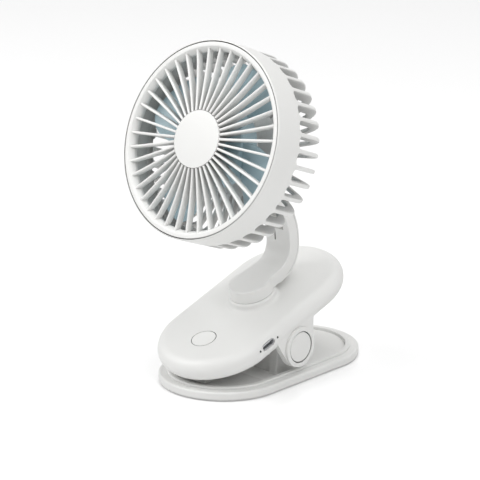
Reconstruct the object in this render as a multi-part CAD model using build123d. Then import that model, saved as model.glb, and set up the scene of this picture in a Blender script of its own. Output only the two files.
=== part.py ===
"""Clip fan: a round fan head on a C-shaped arm that swivels on a battery housing,
which is the upper jaw of a sprung clip.

Millimetres. +Z is up, -Y is the front, +X is the side with the charging socket.
The origin is the centre of the footprint, on the surface that the clip stands on.
"""
from build123d import *
from math import cos, sin, radians, pi, sqrt, asin, atan2
import os

os.makedirs("parts", exist_ok=True)

# ---------------------------------------------------------------- clearances
seam_gap = 0.15          # between two mouldings of one body, side by side
running_gap = 0.05       # shaft in its hole, on the radius
swivel_gap = 0.10        # spigot of the arm in its bore, on the radius
press_gap = 0.02         # round a part that is pressed in
slide_gap = 0.20         # round a washer in its pocket
button_gap = 0.35        # round the power button, and the dark ring that it leaves
touch_gap = 0.05         # between washers and the faces they rub on
screw_gap = 0.10         # round a screw in its hole

# ---------------------------------------------------------------- lower jaw
base_length = 123.8
base_width = 68.2
foot_stand = 0.4         # the foot pad stands this far below the bottom plate
seam_height = 1.2        # height of the seam between bottom plate and tray
panel_height = 2.0       # top of the bottom plate's raised inner panel
floor_height = 2.8       # top of the tray's floor
rim_height = 4.9         # shoulder of the rim
rim_round = 1.1          # outer edge of the rim
rim_width = 7.2          # from the outer face to the recess
lip_inset = 4.4          # raised lip round the recess, behind the outer face
lip_height = 6.2
lip_edge = 0.5           # rounding of the lip
ramp_y = 36.8            # the floor rises to the rear from here
ramp_top = 4.6
plate_inset = 0.5        # bottom plate's edge behind the rim's outer face
panel_inset = 3.0
foot_inset = 9.0
foot_depth = 0.6         # depth of the foot pad's pocket in the bottom plate
base_screw_inset = 3.8   # from the outer face
base_screw_back = 6.1    # from the end of the straight side
base_screw_cover = 1.0   # left above the screw hole's end
pad_height = 4.4         # top of the lower grip pad
pad_back = 4.3           # rear edge of the lower grip pad, behind the straight sides' start
pad_margin = 0.8         # pad to the rim's inner wall

# ---------------------------------------------------------------- jaw pivot
pivot_y, pivot_z = -5.2, 19.5
pin_radius = 2.0
bracket_outer_x = 21.5
bracket_thickness = 5.0
bracket_round = 0.8      # edges of the lugs' outer faces
bracket_boss = 4.9
bracket_front_y, bracket_back_y = -11.2, 12.0
bracket_wall_height = 12.0
bracket_wall = 2.8       # cross wall between the lugs
bracket_setback = 1.8    # cross wall behind the lugs' front edge
ear_thickness = 3.5
ear_inset = 0.2          # ear's outer face behind the widest line of the housing
ear_radius = 10.8
ear_boss_radius = 6.0
ear_boss_gap = 0.5       # ear's inner boss to the bracket
ear_front_s = -16.2      # where the ear's front edge meets the housing
ear_back_s = 12.6
cap_ring_radius = 10.6
cap_ring_height = 1.4
cap_groove_radius = 8.4
cap_radius = 7.95
cap_sink = 1.0           # the cap's seat below the ear's outer face
cap_round = 0.5

# ---------------------------------------------------------------- torsion spring
wire_radius = 0.75
coil_radius = 4.2        # to the middle of the wire
coil_turns = 4           # whole turns; the legs' angles add a part of one
coil_gap = 0.6           # between neighbouring turns
leg_length = 22.0

# ---------------------------------------------------------------- upper jaw housing
jaw_length = 117.6
jaw_width = 64.2
jaw_thick = 12.0
jaw_slope = 18.9         # degrees, rising to the rear
jaw_y, jaw_z = -8.7, 37.7   # middle of its top face
jaw_nose = 5.9           # bull-nose radius
jaw_wall = 2.2
jaw_top_wall = 2.0
cavity_bevel = 2.4       # along the cavity's edges
cover_thick = 1.8
cover_inset = 6.5
post_radius = 3.0
body_screw_inset = 10.6  # from the housing's side
body_screw_front = 10.8  # the front screw, from the housing's front end
body_screw_rows = (-6.0, 30.0)   # the other screws, in pairs along the housing
grip_thick = 1.2         # upper grip pad
grip_back_s = -24.0
grip_inset = 9.0
lip_width = 5.0          # front lip of the upper pad, which meets the lower pad
lip_half_length = 7.0
grip_gap = 0.3           # between the two pads when the jaws are shut

# ---------------------------------------------------------------- button and electrics
button_s = -36.1
button_radius = 6.35
button_travel = 0.6
button_thick = 2.15
button_flange = 1.0      # wider than the button by this much, under the roof
flange_thick = 0.8
board_drop = 5.9         # board's top face below the housing's top face
board_thick = 1.2
board_front_s, board_back_s = -44.5, -12.0
board_inset = 8.6        # from the housing's side
standoff_radius = 2.0
socket_s = -22.2
socket_width, socket_height, socket_depth = 8.94, 3.16, 7.3
socket_setback = 0.7     # mouth behind the housing's outer face
socket_wall = 0.35
light_radius = 0.5
light_offsets = (-6.5, 7.0)   # from the socket's middle, along the housing
light_length = 3.0
battery_length, battery_thick = 30.0, 6.4
battery_side_gap = 1.0   # to the posts beside it
battery_s = 29.5
battery_round = 1.5

# ---------------------------------------------------------------- swivel
swivel_s = 3.5
boss_radius = 12.8
boss_height = 3.95
boss_fillet = 1.8        # at the boss's base
boss_round = 1.4         # on its upper edge
spigot_radius = 6.0
foot_low_radius, foot_top_radius = 11.7, 11.0
foot_disc_lift = 4.1     # underside of the arm's foot above the housing's top face
washer_outer, washer_inner = 10.0, 6.6
washer_pocket = 0.8
retainer_radius = 8.5
retainer_thick = 1.2
retainer_gap = 0.3
swivel_screw_head = 2.6

# ---------------------------------------------------------------- arm
arm_thick = 6.4          # of the front moulding
arm_width = 17.0
arm_rear_y = 17.0        # middle line of the arm at its rearmost
low_bend = 14.4          # radii of the middle line
high_bend = 35.0
top_angle = 66.0         # how far round the high bend the tilt pin lies
back_cover = 1.0         # thickness of the cover on the arm's back
cover_setback = 0.2      # the cover's sides behind the arm's
seam_groove_width, seam_groove_depth = 0.35, 0.6   # between the arm and its cover
arm_wall = 1.7
neck_width = 19.0        # at the foot, from where the arm narrows
arm_taper_s = 25.0       # the neck has narrowed to the arm's width here
edge_round = 0.5
fork_start = 15.0        # degrees round the high bend
fork_slot = 9.2
fork_end_radius = 4.4
cover_end = 50.0         # degrees round the high bend
wire_slit = 1.0
wire_slit_x = -2.0
wire_slit_start = 2.8    # degrees round the high bend
arm_screw_angles = (-38.0, 8.0)   # low bend, high bend

# ---------------------------------------------------------------- head
head_y, head_z = -45.7, 131.4     # middle of the front plane
head_tilt = 20.8         # degrees, facing up
drum_radius = 51.0
drum_depth = 38.0
drum_corner = 9.0
drum_wall = 2.2
lip_round = 0.8
groove_inset = 1.0       # groove between housing and front grille, from the drum's side
groove_width = 0.45
seat_depth = 3.0         # the grille's ring rests this deep
rib_thick = 4.0          # of the ribs on the drum's side
rib_depth = 4.0          # axial depth of the ribs on the rear face
rib_corner = 5.0
slot_count = 39
slot_phase = 2.3         # direction of the first slot's middle
slot_start = 16.8        # slots begin this far behind the front plane
rear_hub_radius = 23.0
slot_inner_width = 1.5
slot_outer_width = 5.8
slot_round = 2.1         # corners of the slots' front ends

# ---------------------------------------------------------------- front grille
spoke_count = 39
spoke_width = 1.3
spoke_depth = 5.6
band_outer_inset, band_inner_inset = 3.5, 5.4   # sloped band inside the ring
band_drop = 3.2
ring_depth = 5.0
hub_radius = 13.8
hub_top = 0.9
spoke_hub_top = 1.9      # front edge of the spokes beside the centre cap
spoke_mid_radius, spoke_mid_top = 25.0, 0.5
spoke_end_top = -0.8
centre_radius = 14.6
centre_top = 2.5
centre_edge = 2.0

# ---------------------------------------------------------------- rotor and motor
blade_count = 4
rotor_tip_inset = 8.0    # blades' tips, from the drum's side
rotor_hub_radius = 12.5
rotor_hub_wall = 1.3
rotor_front, rotor_back = 8.5, 27.0   # behind the front plane
blade_middle = 15.2
blade_thick = 1.3
blade_root = 7.5
blade_chords = (17.0, 30.0, 42.0)
blade_pitches = (46.0, 30.0, 21.0)
blade_first_angle = 47.5
shaft_radius = 1.0
shaft_front, shaft_back = 9.4, 24.0
shaft_boss = 3.0
motor_radius = 10.3
motor_front, motor_back = 11.0, 26.0

# ---------------------------------------------------------------- tilt hinge
knuckle_plate_radius = 17.0
knuckle_plate_thick = 3.0
knuckle_width = 8.2
knuckle_radius = 4.4
knuckle_top = -3.0       # upper edge of the tongue's root on the plate
tilt_pin_radius = 1.6
knuckle_screw_circle = 13.6

# ---------------------------------------------------------------- screws
screw_radius = 1.0
screw_head_radius = 1.9
screw_head_height = 0.9

# ---------------------------------------------------------------- places taken from sizes
base_screw_x = base_width / 2 - base_screw_inset
base_screw_y = (base_length - base_width) / 2 - base_screw_back
pad_back_y = pad_back - (base_length - base_width) / 2
body_screw_x = jaw_width / 2 - body_screw_inset
body_screws_at = [(0, body_screw_front - jaw_length / 2)]
body_screws_at += [(side * body_screw_x, s) for s in body_screw_rows for side in (1, -1)]
board_half_width = jaw_width / 2 - board_inset
battery_width = 2 * (body_screw_x - post_radius - battery_side_gap)
pivot_face_x = jaw_width / 2 - ear_inset
groove_radius = drum_radius - groove_inset
rib_inner_radius = drum_radius - rib_thick
band_outer, band_inner = drum_radius - band_outer_inset, drum_radius - band_inner_inset
rotor_radius = drum_radius - rotor_tip_inset
blade_tip = rotor_radius + 1.0   # trimmed back to the rotor's radius

# ---------------------------------------------------------------- frames
beta, tau = radians(jaw_slope), radians(head_tilt)
WORLD_SIDE = Plane.YZ    # sketches in it have x = world Y and y = world Z
JAW = Plane(origin=(0, jaw_y, jaw_z), x_dir=(1, 0, 0), z_dir=(0, -sin(beta), cos(beta)))
HEAD = Plane(origin=(0, head_y, head_z), x_dir=(1, 0, 0), z_dir=(0, -cos(tau), sin(tau)))


def jaw_to_world(s, w):
    """World (y, z) of a point s along the housing and w above its top face."""
    return (jaw_y + s * cos(beta) - w * sin(beta), jaw_z + s * sin(beta) + w * cos(beta))


def world_to_jaw(y, z):
    """Place along the housing and height above its top face of a world (y, z)."""
    dy, dz = y - jaw_y, z - jaw_z
    return (dy * cos(beta) + dz * sin(beta), -dy * sin(beta) + dz * cos(beta))


def world_to_head(y, z):
    """Height above the head's axis and place along it (front is positive)."""
    dy, dz = y - head_y, z - head_z
    return (dy * sin(tau) + dz * cos(tau), -dy * cos(tau) + dz * sin(tau))


def stadium(length, width, inset=0.0):
    """Oval with straight sides, long along Y."""
    return SlotOverall(length - 2 * inset, width - 2 * inset, rotation=90)


def slab(face, low, high):
    """The face, drawn at height 0, as a solid from low to high."""
    return Pos(0, 0, low) * extrude(face, high - low)


def disc(radius, low, high, at=(0, 0)):
    return Pos(at[0], at[1], low) * extrude(Circle(radius), high - low)


def side_slab(face, x_low, x_high):
    """A face drawn in world (y, z), as a solid from x_low to x_high."""
    return extrude(WORLD_SIDE.offset(x_low) * face, x_high - x_low)


def cross_pin(radius, x_low, x_high, y, z):
    """A round bar along X."""
    return side_slab(Pos(y, z) * Circle(radius), x_low, x_high)


def end_edges(solid, top=True):
    """The edges of the highest or lowest level of a solid."""
    return solid.edges().group_by(Axis.Z)[-1 if top else 0]


def mirrored(points):
    """Every (x, y) with both signs of x and of y."""
    return [(i * x, j * y) for x, y in points for i in (1, -1) for j in (1, -1)]


# ================================================================ lower jaw
def lower_jaw():
    """Oval tray with a stepped rim and a bracket for the pivot pin."""
    tray = slab(stadium(base_length, base_width), seam_height, rim_height)
    tray = fillet(end_edges(tray), rim_round)
    hollow = slab(stadium(base_length, base_width, rim_width), floor_height, rim_height + 1)
    tray -= hollow - side_slab(ramp_outline(), -base_width, base_width)
    lip = stadium(base_length, base_width, lip_inset) - stadium(base_length, base_width, rim_width)
    tray += fillet(end_edges(slab(lip, floor_height, lip_height)), lip_edge)
    tray -= slab(stadium(base_length, base_width, panel_inset - seam_gap), 0, panel_height)
    tray += bracket()
    tray -= cross_pin(pin_radius + running_gap, -base_width, base_width, pivot_y, pivot_z)
    for at in mirrored([(base_screw_x, base_screw_y)]):
        tray -= disc(screw_radius, 0, rim_height - base_screw_cover, at)
    return tray


def ramp_outline():
    """Wedge in world (y, z) that lifts the floor towards the rear."""
    back = base_length / 2
    inner = back - rim_width
    slope = (ramp_top - floor_height) / (inner - ramp_y)
    return Polygon((ramp_y, floor_height), (ramp_y, 0), (back, 0),
                   (back, floor_height + slope * (back - ramp_y)), align=None)


def bracket():
    """Two upright lugs joined by a cross wall behind their front edges."""
    boss = Pos(pivot_y, pivot_z) * Circle(bracket_boss)
    foot = Line((bracket_front_y, floor_height), (bracket_back_y, floor_height))
    outline = make_hull(boss.edges() + foot.edges())
    lug = side_slab(outline, bracket_outer_x - bracket_thickness, bracket_outer_x)
    rim = [e for e in lug.faces().sort_by(Axis.X)[-1].edges() if (e @ 0.5).Z > floor_height + 1]
    lug = fillet(rim, bracket_round)
    wall = side_slab(Rectangle(bracket_wall, bracket_wall_height - floor_height,
                               align=(Align.MIN, Align.MIN)), -bracket_outer_x + 1, bracket_outer_x - 1)
    return lug + mirror(lug, Plane.YZ) + Pos(0, bracket_front_y + bracket_setback, floor_height) * wall


def base_plate():
    """Bottom plate: a thin lip that shows, and a panel nested in the tray."""
    plate = slab(stadium(base_length, base_width, plate_inset), foot_stand, seam_height)
    plate += slab(stadium(base_length, base_width, panel_inset), seam_height, panel_height)
    plate -= slab(stadium(base_length, base_width, foot_inset - seam_gap), 0, foot_stand + foot_depth)
    for at in mirrored([(base_screw_x, base_screw_y)]):
        plate -= disc(screw_radius + screw_gap, 0, panel_height + 1, at)
        plate -= disc(screw_head_radius + screw_gap, 0, foot_stand + screw_head_height / 2, at)
    return plate


def foot_pad():
    """Soft sheet that the clip stands on, let into the bottom plate."""
    pad = slab(stadium(base_length, base_width, foot_inset), 0, foot_stand + foot_depth)
    return chamfer(end_edges(pad, top=False), 0.2)


def base_screws():
    seat = foot_stand + screw_head_height / 2
    return [disc(screw_radius - press_gap, seat, rim_height - base_screw_cover - 0.2, at)
            + disc(screw_head_radius, seat - screw_head_height / 2, seat, at)
            for at in mirrored([(base_screw_x, base_screw_y)])]


def lower_grip_pad():
    """Soft pad on the front of the tray's floor, with its rear edge cut straight."""
    outline = stadium(base_length, base_width, rim_width + pad_margin)
    front = Pos(0, pad_back_y - base_length / 2) * Rectangle(base_width, base_length)
    pad = slab(outline & front, floor_height, pad_height)
    return chamfer(end_edges(pad), 0.4)


# ================================================================ pivot
def pivot_pin():
    end = pivot_face_x - cap_sink
    return cross_pin(pin_radius, -end, end, pivot_y, pivot_z)


def pivot_caps():
    """Round covers in the ears' raised rings, seated below the ears' outer faces."""
    cap = fillet(end_edges(disc(cap_radius, -cap_sink, cap_ring_height - 0.1)), cap_round)
    right = Pos(pivot_face_x, pivot_y, pivot_z) * Rot(0, 90, 0) * cap
    left = Pos(-pivot_face_x, pivot_y, pivot_z) * Rot(0, -90, 0) * cap
    return [right, left]


def leg_angle(drop):
    """How far a leg must lean off a plane, drop away from the pin, to touch it with its tip."""
    reach = coil_radius + wire_radius
    return asin((drop - touch_gap) / sqrt(reach ** 2 + leg_length ** 2)) - atan2(reach, leg_length)


def spring_line():
    """Middle line of the spring: leg, turns about the pin in half turns, leg.

    In the local frame x runs along the pin. Each half turn is a biarc, so that
    the line has one direction wherever two arcs meet.
    """
    under = -jaw_thick - world_to_jaw(pivot_y, pivot_z)[1]
    low, high = leg_angle(pivot_z - floor_height), beta + leg_angle(under)
    start, turn = 1.5 * pi - low, 2 * pi * coil_turns + pi - low - high
    rise = (2 * wire_radius + coil_gap) / (2 * pi)
    steps = 2 * coil_turns + 1

    def point(k):
        a = start - turn * k / steps
        return Vector(rise * turn * (k / steps - 0.5), coil_radius * cos(a), coil_radius * sin(a))

    def heading(k):
        a = start - turn * k / steps
        return Vector(rise, coil_radius * sin(a), -coil_radius * cos(a)).normalized()

    line = [Line(point(0) - heading(0) * leg_length, point(0))]
    for k in range(steps):
        line += biarc(point(k), heading(k), point(k + 1), heading(k + 1))
    line.append(Line(point(steps), point(steps) + heading(steps) * leg_length))
    return line


def biarc(start, start_dir, end, end_dir):
    """Two arcs that join two points with the given directions."""
    chord, both = end - start, start_dir + end_dir
    a, b, c = 2 * (1 - start_dir.dot(end_dir)), chord.dot(both), chord.dot(chord)
    reach = (sqrt(b * b + a * c) - b) / a
    first, second = start + start_dir * reach, end - end_dir * reach
    middle = (first + second) * 0.5
    return [TangentArc(start, middle, tangent=start_dir),
            TangentArc(middle, end, tangent=(second - first).normalized())]


def torsion_spring():
    """Coil round the pin, with one leg on the tray and one under the housing."""
    line = spring_line()
    path = Wire([piece.edge() for piece in line])
    section = Plane(origin=line[0] @ 0, z_dir=line[0] % 0) * Circle(wire_radius)
    spring = Pos(0, pivot_y, pivot_z) * sweep(section, path=path)
    print("spring: volume over section times length",
          round(spring.volume / (pi * wire_radius ** 2 * path.length), 4))
    print("spring: least gap to itself", round(least_gap(line[1:-1]), 2))
    return spring


def least_gap(arcs):
    """Smallest gap between points of the coil that lie more than half a turn apart."""
    count = 12
    points = [arc @ (k / count) for arc in arcs for k in range(count)]
    apart = 2 * count
    nearest = min((p - q).length for i, p in enumerate(points) for q in points[i + apart:])
    return nearest - 2 * wire_radius


# ================================================================ upper jaw housing
def upper_shell():
    """Pillow-shaped housing, open below, with the ears and the swivel boss."""
    body = slab(stadium(jaw_length, jaw_width), -jaw_thick, 0)
    body = fillet(end_edges(body) + end_edges(body, top=False), jaw_nose)
    body += swivel_boss()
    cavity = slab(stadium(jaw_length, jaw_width, jaw_wall), cover_thick - jaw_thick, -jaw_top_wall)
    cavity = chamfer(end_edges(cavity) + end_edges(cavity, top=False), cavity_bevel)
    body -= cavity
    body -= slab(stadium(jaw_length, jaw_width, cover_inset - seam_gap), -jaw_thick - 1, -jaw_thick + 3)
    body += housing_posts()
    body -= housing_openings()
    return JAW.location * body + ears()


def swivel_boss():
    """Low round boss, rounded above, with a fillet that runs out into the top face."""
    low, wide = -jaw_top_wall / 2, boss_radius + boss_fillet
    base = Polyline((0, low), (wide, low), (wide, 0))
    blend = CenterArc((wide, boss_fillet), boss_fillet, 270, -90)
    wall = Line((boss_radius, boss_fillet), (boss_radius, boss_height - boss_round))
    edge = CenterArc((boss_radius - boss_round, boss_height - boss_round), boss_round, 0, 90)
    top = Polyline((boss_radius - boss_round, boss_height), (0, boss_height), (0, low))
    outline = ShapeList()
    for part in (base, blend, wall, edge, top):
        outline += part.edges()
    return Pos(0, swivel_s, 0) * revolve(Plane.XZ * make_face(outline), Axis.Z)


def housing_posts():
    """Screw posts for the underside cover and standoffs for the board."""
    posts = [disc(post_radius, cover_thick - jaw_thick, -jaw_top_wall / 2, at) for at in body_screws_at]
    posts += [disc(standoff_radius, -board_drop, -jaw_top_wall / 2, at) for at in board_standoffs()]
    return posts


def board_standoffs():
    margin = 3.5
    near = board_half_width - 7 - margin
    return [(near, board_front_s + margin + 3), (-near, board_front_s + margin + 3),
            (-(board_half_width - 1 - margin), board_back_s - margin),
            (0, board_back_s - margin)]


def housing_openings():
    """Holes for the swivel, the button, the socket, the lights and the screws."""
    holes = [disc(spigot_radius + swivel_gap, -jaw_thick / 2, boss_height + 1, (0, swivel_s)),
             disc(washer_outer + slide_gap, boss_height - washer_pocket, boss_height + 1, (0, swivel_s)),
             disc(button_radius + button_gap, -jaw_thick / 2, 1, (0, button_s))]
    holes += [disc(screw_radius, -jaw_thick, -4.0, at) for at in body_screws_at]
    holes.append(socket_block(jaw_width, seam_gap))
    holes += [x_bar(light_radius + screw_gap, jaw_width / 2 - 6, jaw_width, socket_s + d, socket_w())
              for d in light_offsets]
    return holes


def socket_w():
    """Height of the socket's middle: it stands on the board."""
    return -board_drop + socket_height / 2


def x_bar(radius, x_low, x_high, s, w):
    """A round bar along X in the housing's frame."""
    return Pos(x_low, s, w) * Rot(0, 90, 0) * extrude(Circle(radius), x_high - x_low)


def socket_block(x_end, grow=0.0):
    """The rounded block of the socket, from its back end outwards to x_end."""
    start = jaw_width / 2 - socket_setback - socket_depth
    profile = SlotOverall(socket_width + 2 * grow, socket_height + 2 * grow)
    block = extrude(profile, x_end - start)
    return Pos(start, socket_s, socket_w()) * Rot(0, 90, 0) * Rot(0, 0, 90) * block


def ears():
    """Two tongues that carry the jaw on the pivot pin, with raised cap rings."""
    outer = pivot_face_x
    inner = outer - ear_thickness
    blank = side_slab(ear_outline(), inner, outer)
    blank += cross_pin(ear_boss_radius, bracket_outer_x + ear_boss_gap, inner, pivot_y, pivot_z)
    blank += cross_pin(cap_ring_radius, outer, outer + cap_ring_height, pivot_y, pivot_z)
    blank -= cross_pin(cap_groove_radius, outer - cap_sink, outer + 9, pivot_y, pivot_z)
    blank -= cross_pin(pin_radius + press_gap, 0, outer + 1, pivot_y, pivot_z)
    return [blank, mirror(blank, Plane.YZ)]


def ear_outline():
    """Ear in world (y, z): from the middle of the housing's side down round the pin."""
    mid = -jaw_thick / 2
    ring = Pos(pivot_y, pivot_z) * Circle(ear_radius)
    root = Polyline(jaw_to_world(ear_front_s, mid), jaw_to_world(ear_front_s, mid - 3),
                    jaw_to_world(ear_back_s, mid - 3), jaw_to_world(ear_back_s, mid), close=True)
    return make_hull(ring.edges() + root.edges())


def underside_cover():
    """Plate that closes the housing from below, held by screws in the posts."""
    cover = slab(stadium(jaw_length, jaw_width, cover_inset), -jaw_thick, cover_thick - jaw_thick)
    for at in body_screws_at:
        cover -= disc(screw_radius + screw_gap, -jaw_thick - 1, -jaw_thick + 9, at)
        cover -= disc(screw_head_radius + screw_gap, -jaw_thick - 1, -jaw_thick + screw_head_height, at)
    return JAW.location * cover


def body_screws():
    low = -jaw_thick + screw_head_height
    return [JAW.location * (disc(screw_radius - press_gap, low, -4.2, at)
                            + disc(screw_head_radius, -jaw_thick, low, at)) for at in body_screws_at]


def upper_grip_pad():
    """Soft pad under the front of the housing, with a lip that lands on the lower pad."""
    outline = stadium(jaw_length, jaw_width, grip_inset)
    front = Pos(0, grip_back_s - jaw_length / 2) * Rectangle(jaw_width, jaw_length)
    pad = slab(outline & front, -jaw_thick - grip_thick, -jaw_thick)
    pad = JAW.location * chamfer(end_edges(pad, top=False), 0.4)
    ring = (outline - stadium(jaw_length, jaw_width, grip_inset + lip_width)) & front
    lip = slab(ring & Rectangle(2 * lip_half_length, jaw_length), -3 * jaw_thick, -jaw_thick)
    over = slab(stadium(base_length, base_width, rim_width + pad_margin), pad_height + grip_gap, jaw_z)
    return pad + (JAW.location * lip & over)


# ================================================================ button and electrics
def power_button():
    """Round button with a flange under the roof and a stem over the switch."""
    cap = fillet(end_edges(disc(button_radius, -button_thick, 0.15, (0, button_s))), 0.3)
    low = -jaw_top_wall - 0.15 - flange_thick
    cap += disc(button_radius + button_flange, low, -jaw_top_wall - 0.15, (0, button_s))
    cap += disc(1.5, low - 0.4, low + 0.2, (0, button_s))
    return JAW.location * cap


def tact_switch():
    """Low square switch on the board, with a round plunger."""
    top = -jaw_top_wall - 0.15 - flange_thick - 0.4 - button_travel - 0.1
    body = Pos(0, button_s, -board_drop) * Box(6, 6, 1.2, align=(Align.CENTER, Align.CENTER, Align.MIN))
    return JAW.location * (body + disc(1.4, -board_drop + 1.0, top, (0, button_s)))


def circuit_board():
    """Board under its standoffs, cut back at the front to follow the housing."""
    length = board_back_s - board_front_s
    outline = Pos(0, (board_back_s + board_front_s) / 2) * Rectangle(2 * board_half_width, length)
    outline &= stadium(jaw_length, jaw_width, cover_inset)
    return JAW.location * slab(outline, -board_drop - board_thick, -board_drop)


def usb_socket():
    """Metal shell of the socket with its tongue, standing on the board."""
    end = jaw_width / 2 - socket_setback
    shell = socket_block(end) - Pos(0.8, 0, 0) * socket_block(end + 2, -socket_wall)
    start = end - socket_depth
    tongue = Pos(start + 0.6, socket_s, socket_w()) * Box(
        socket_depth - 2, socket_width - 2.2, 0.7, align=(Align.MIN, Align.CENTER, Align.CENTER))
    return JAW.location * (shell + tongue)


def indicator_lights():
    end = jaw_width / 2 - 0.25
    return [JAW.location * x_bar(light_radius, end - light_length, end, socket_s + d, socket_w())
            for d in light_offsets]


def battery():
    """Flat cell that lies on the underside cover."""
    low = cover_thick - jaw_thick
    outline = Pos(0, battery_s) * Rectangle(battery_width, battery_length)
    cell = slab(outline, low, low + battery_thick)
    return JAW.location * fillet(cell.edges().filter_by(Axis.Y), battery_round)


# ================================================================ swivel
def swivel_washer():
    low = boss_height - washer_pocket
    ring = disc(washer_outer, low, foot_disc_lift - touch_gap, (0, swivel_s))
    return JAW.location * (ring - disc(washer_inner, low - 1, low + 9, (0, swivel_s)))


def retainer_levels():
    high = -jaw_top_wall - retainer_gap
    return high - retainer_thick, high


def swivel_retainer():
    """Washer on the spigot's end that keeps the arm in the housing."""
    low, high = retainer_levels()
    ring = disc(retainer_radius, low, high, (0, swivel_s))
    return JAW.location * (ring - disc(screw_radius + 0.4, low - 1, high + 1, (0, swivel_s)))


def swivel_screw():
    low, high = retainer_levels()
    head = disc(swivel_screw_head, low - 1.2, low, (0, swivel_s))
    return JAW.location * (head + disc(screw_radius + 0.28, low, foot_disc_lift + 2, (0, swivel_s)))


# ================================================================ arm
def arm_centres():
    """Centres of the two bends of the arm's middle line, in world (y, z)."""
    low_y = arm_rear_y - low_bend
    start_y = low_y + low_bend * sin(beta)
    mid_w = foot_disc_lift + arm_thick / 2
    s = (start_y - jaw_y + mid_w * sin(beta)) / cos(beta)
    start_z = jaw_to_world(s, mid_w)[1]
    low_z = start_z + low_bend * cos(beta)
    return (low_y, low_z), (arm_rear_y - high_bend, low_z)


def arm_line(offset, start_s, end_angle):
    """Edges of a line parallel to the arm's middle line; offset is towards the front."""
    low_centre, high_centre = arm_centres()
    mid_w = foot_disc_lift + arm_thick / 2
    radius = low_bend - offset
    tangent = (low_centre[0] + radius * sin(beta), low_centre[1] - radius * cos(beta))
    edges = [Line(jaw_to_world(start_s, mid_w + offset), tangent),
             CenterArc(low_centre, radius, -90 + jaw_slope, 90 - jaw_slope)]
    if end_angle > 0:
        edges.append(CenterArc(high_centre, high_bend - offset, 0, end_angle))
    return edges


def arm_band(front, back, start_s, end_angle):
    """Face of the arm's side view between two offsets."""
    a, b = arm_line(front, start_s, end_angle), arm_line(back, start_s, end_angle)
    ends = [Line(a[0] @ 0, b[0] @ 0), Line(a[-1] @ 1, b[-1] @ 1)]
    edges = ShapeList()
    for piece in a + b + ends:
        edges += piece.edges()
    return make_face(edges)


def arm_bar(front, back, start_s, end_angle, width):
    return side_slab(arm_band(front, back, start_s, end_angle), -width / 2, width / 2)


def hinge_point():
    """Tilt pin's place in world (y, z)."""
    centre = arm_centres()[1]
    return (centre[0] + high_bend * cos(radians(top_angle)), centre[1] + high_bend * sin(radians(top_angle)))


def arm_plan():
    """Outline of the arm seen along the swivel axis: a neck that narrows, then straight."""
    reach = arm_taper_s + 2 * low_bend
    neck = Polyline((-neck_width / 2, swivel_s), (neck_width / 2, swivel_s), (arm_width / 2, arm_taper_s),
                    (arm_width / 2, reach), (-arm_width / 2, reach), (-arm_width / 2, arm_taper_s), close=True)
    return make_face(neck.edges())


def arm_outside():
    """Foot, neck and bends as one solid form, with its front edges rounded."""
    half = arm_thick / 2
    strip = arm_bar(half, -half, swivel_s, 0, 3 * arm_width) & JAW.location * slab(arm_plan(), 0, 4 * low_bend)
    cone = Cone(foot_low_radius, foot_top_radius, arm_thick, align=(Align.CENTER, Align.CENTER, Align.MIN))
    form = strip + JAW.location * Pos(0, swivel_s, foot_disc_lift) * cone
    form += arm_bar(half, -half, arm_taper_s, top_angle, arm_width) & above_low_bend()
    right = form & Box(200, 400, 400, align=(Align.MIN, Align.CENTER, Align.CENTER))
    right = fillet(right.edges().filter_by(on_front_edge), edge_round)
    return right + mirror(right, Plane.YZ)


def above_low_bend():
    """Everything above the level where the two bends meet."""
    level = arm_centres()[0][1]
    return Pos(0, 0, level) * Box(200, 200, 200, align=(Align.CENTER, Align.CENTER, Align.MIN))


def on_front_edge(edge):
    """True for an edge where the arm's front face meets one of its sides."""
    point, half = edge @ 0.5, arm_thick / 2
    across = edge.geom_type == GeomType.LINE and abs((edge % 0.5).X) > 0.999
    if across or point.X < 0.01:
        return False
    low, high = arm_centres()
    if point.Z > low[1]:
        return abs(sqrt((point.Y - high[0]) ** 2 + (point.Z - high[1]) ** 2) - high_bend + half) < 0.01
    s, w = world_to_jaw(point.Y, point.Z)
    near_low = abs(sqrt((point.Y - low[0]) ** 2 + (point.Z - low[1]) ** 2) - low_bend + half) < 0.01
    return near_low or abs(w - foot_disc_lift - arm_thick) < 0.01


def arm_shell():
    """Foot, arm and fork in one moulding, hollow behind for the wires."""
    half = arm_thick / 2
    hinge_y, hinge_z = hinge_point()
    shell = arm_outside()
    shell += cross_pin(fork_end_radius, -arm_width / 2, arm_width / 2, hinge_y, hinge_z)
    shell -= fork_cut()
    start = swivel_s + foot_low_radius + arm_wall
    shell -= arm_bar(half - arm_wall, -half - 1, start, fork_start - 3, arm_width - 2 * arm_wall)
    shell += arm_posts()
    shell -= slit_cut()
    shell -= seam_groove()
    shell -= cross_pin(tilt_pin_radius + press_gap, -arm_width, arm_width, hinge_y, hinge_z)
    shell += JAW.location * disc(spigot_radius, retainer_levels()[1], foot_disc_lift + 1, (0, swivel_s))
    shell -= JAW.location * disc(screw_radius + 0.3, -9, foot_disc_lift + 2, (0, swivel_s))
    shell -= arm_screw_holes(screw_radius)
    return shell


def sector(angle_from, angle_to, reach):
    """Wedge about the high bend's centre, in world (y, z)."""
    centre = arm_centres()[1]
    a, b = radians(angle_from), radians(angle_to)
    far = reach / cos((b - a) / 2)
    return Polyline(centre, (centre[0] + far * cos(a), centre[1] + far * sin(a)),
                    (centre[0] + far * cos((a + b) / 2), centre[1] + far * sin((a + b) / 2)),
                    (centre[0] + far * cos(b), centre[1] + far * sin(b)), close=True)


def fork_cut():
    """Slot between the fork's two ears, from its floor up past the pin."""
    wedge = make_face(sector(fork_start, top_angle + 20, high_bend + 8).edges())
    return side_slab(wedge, -fork_slot / 2, fork_slot / 2)


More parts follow.
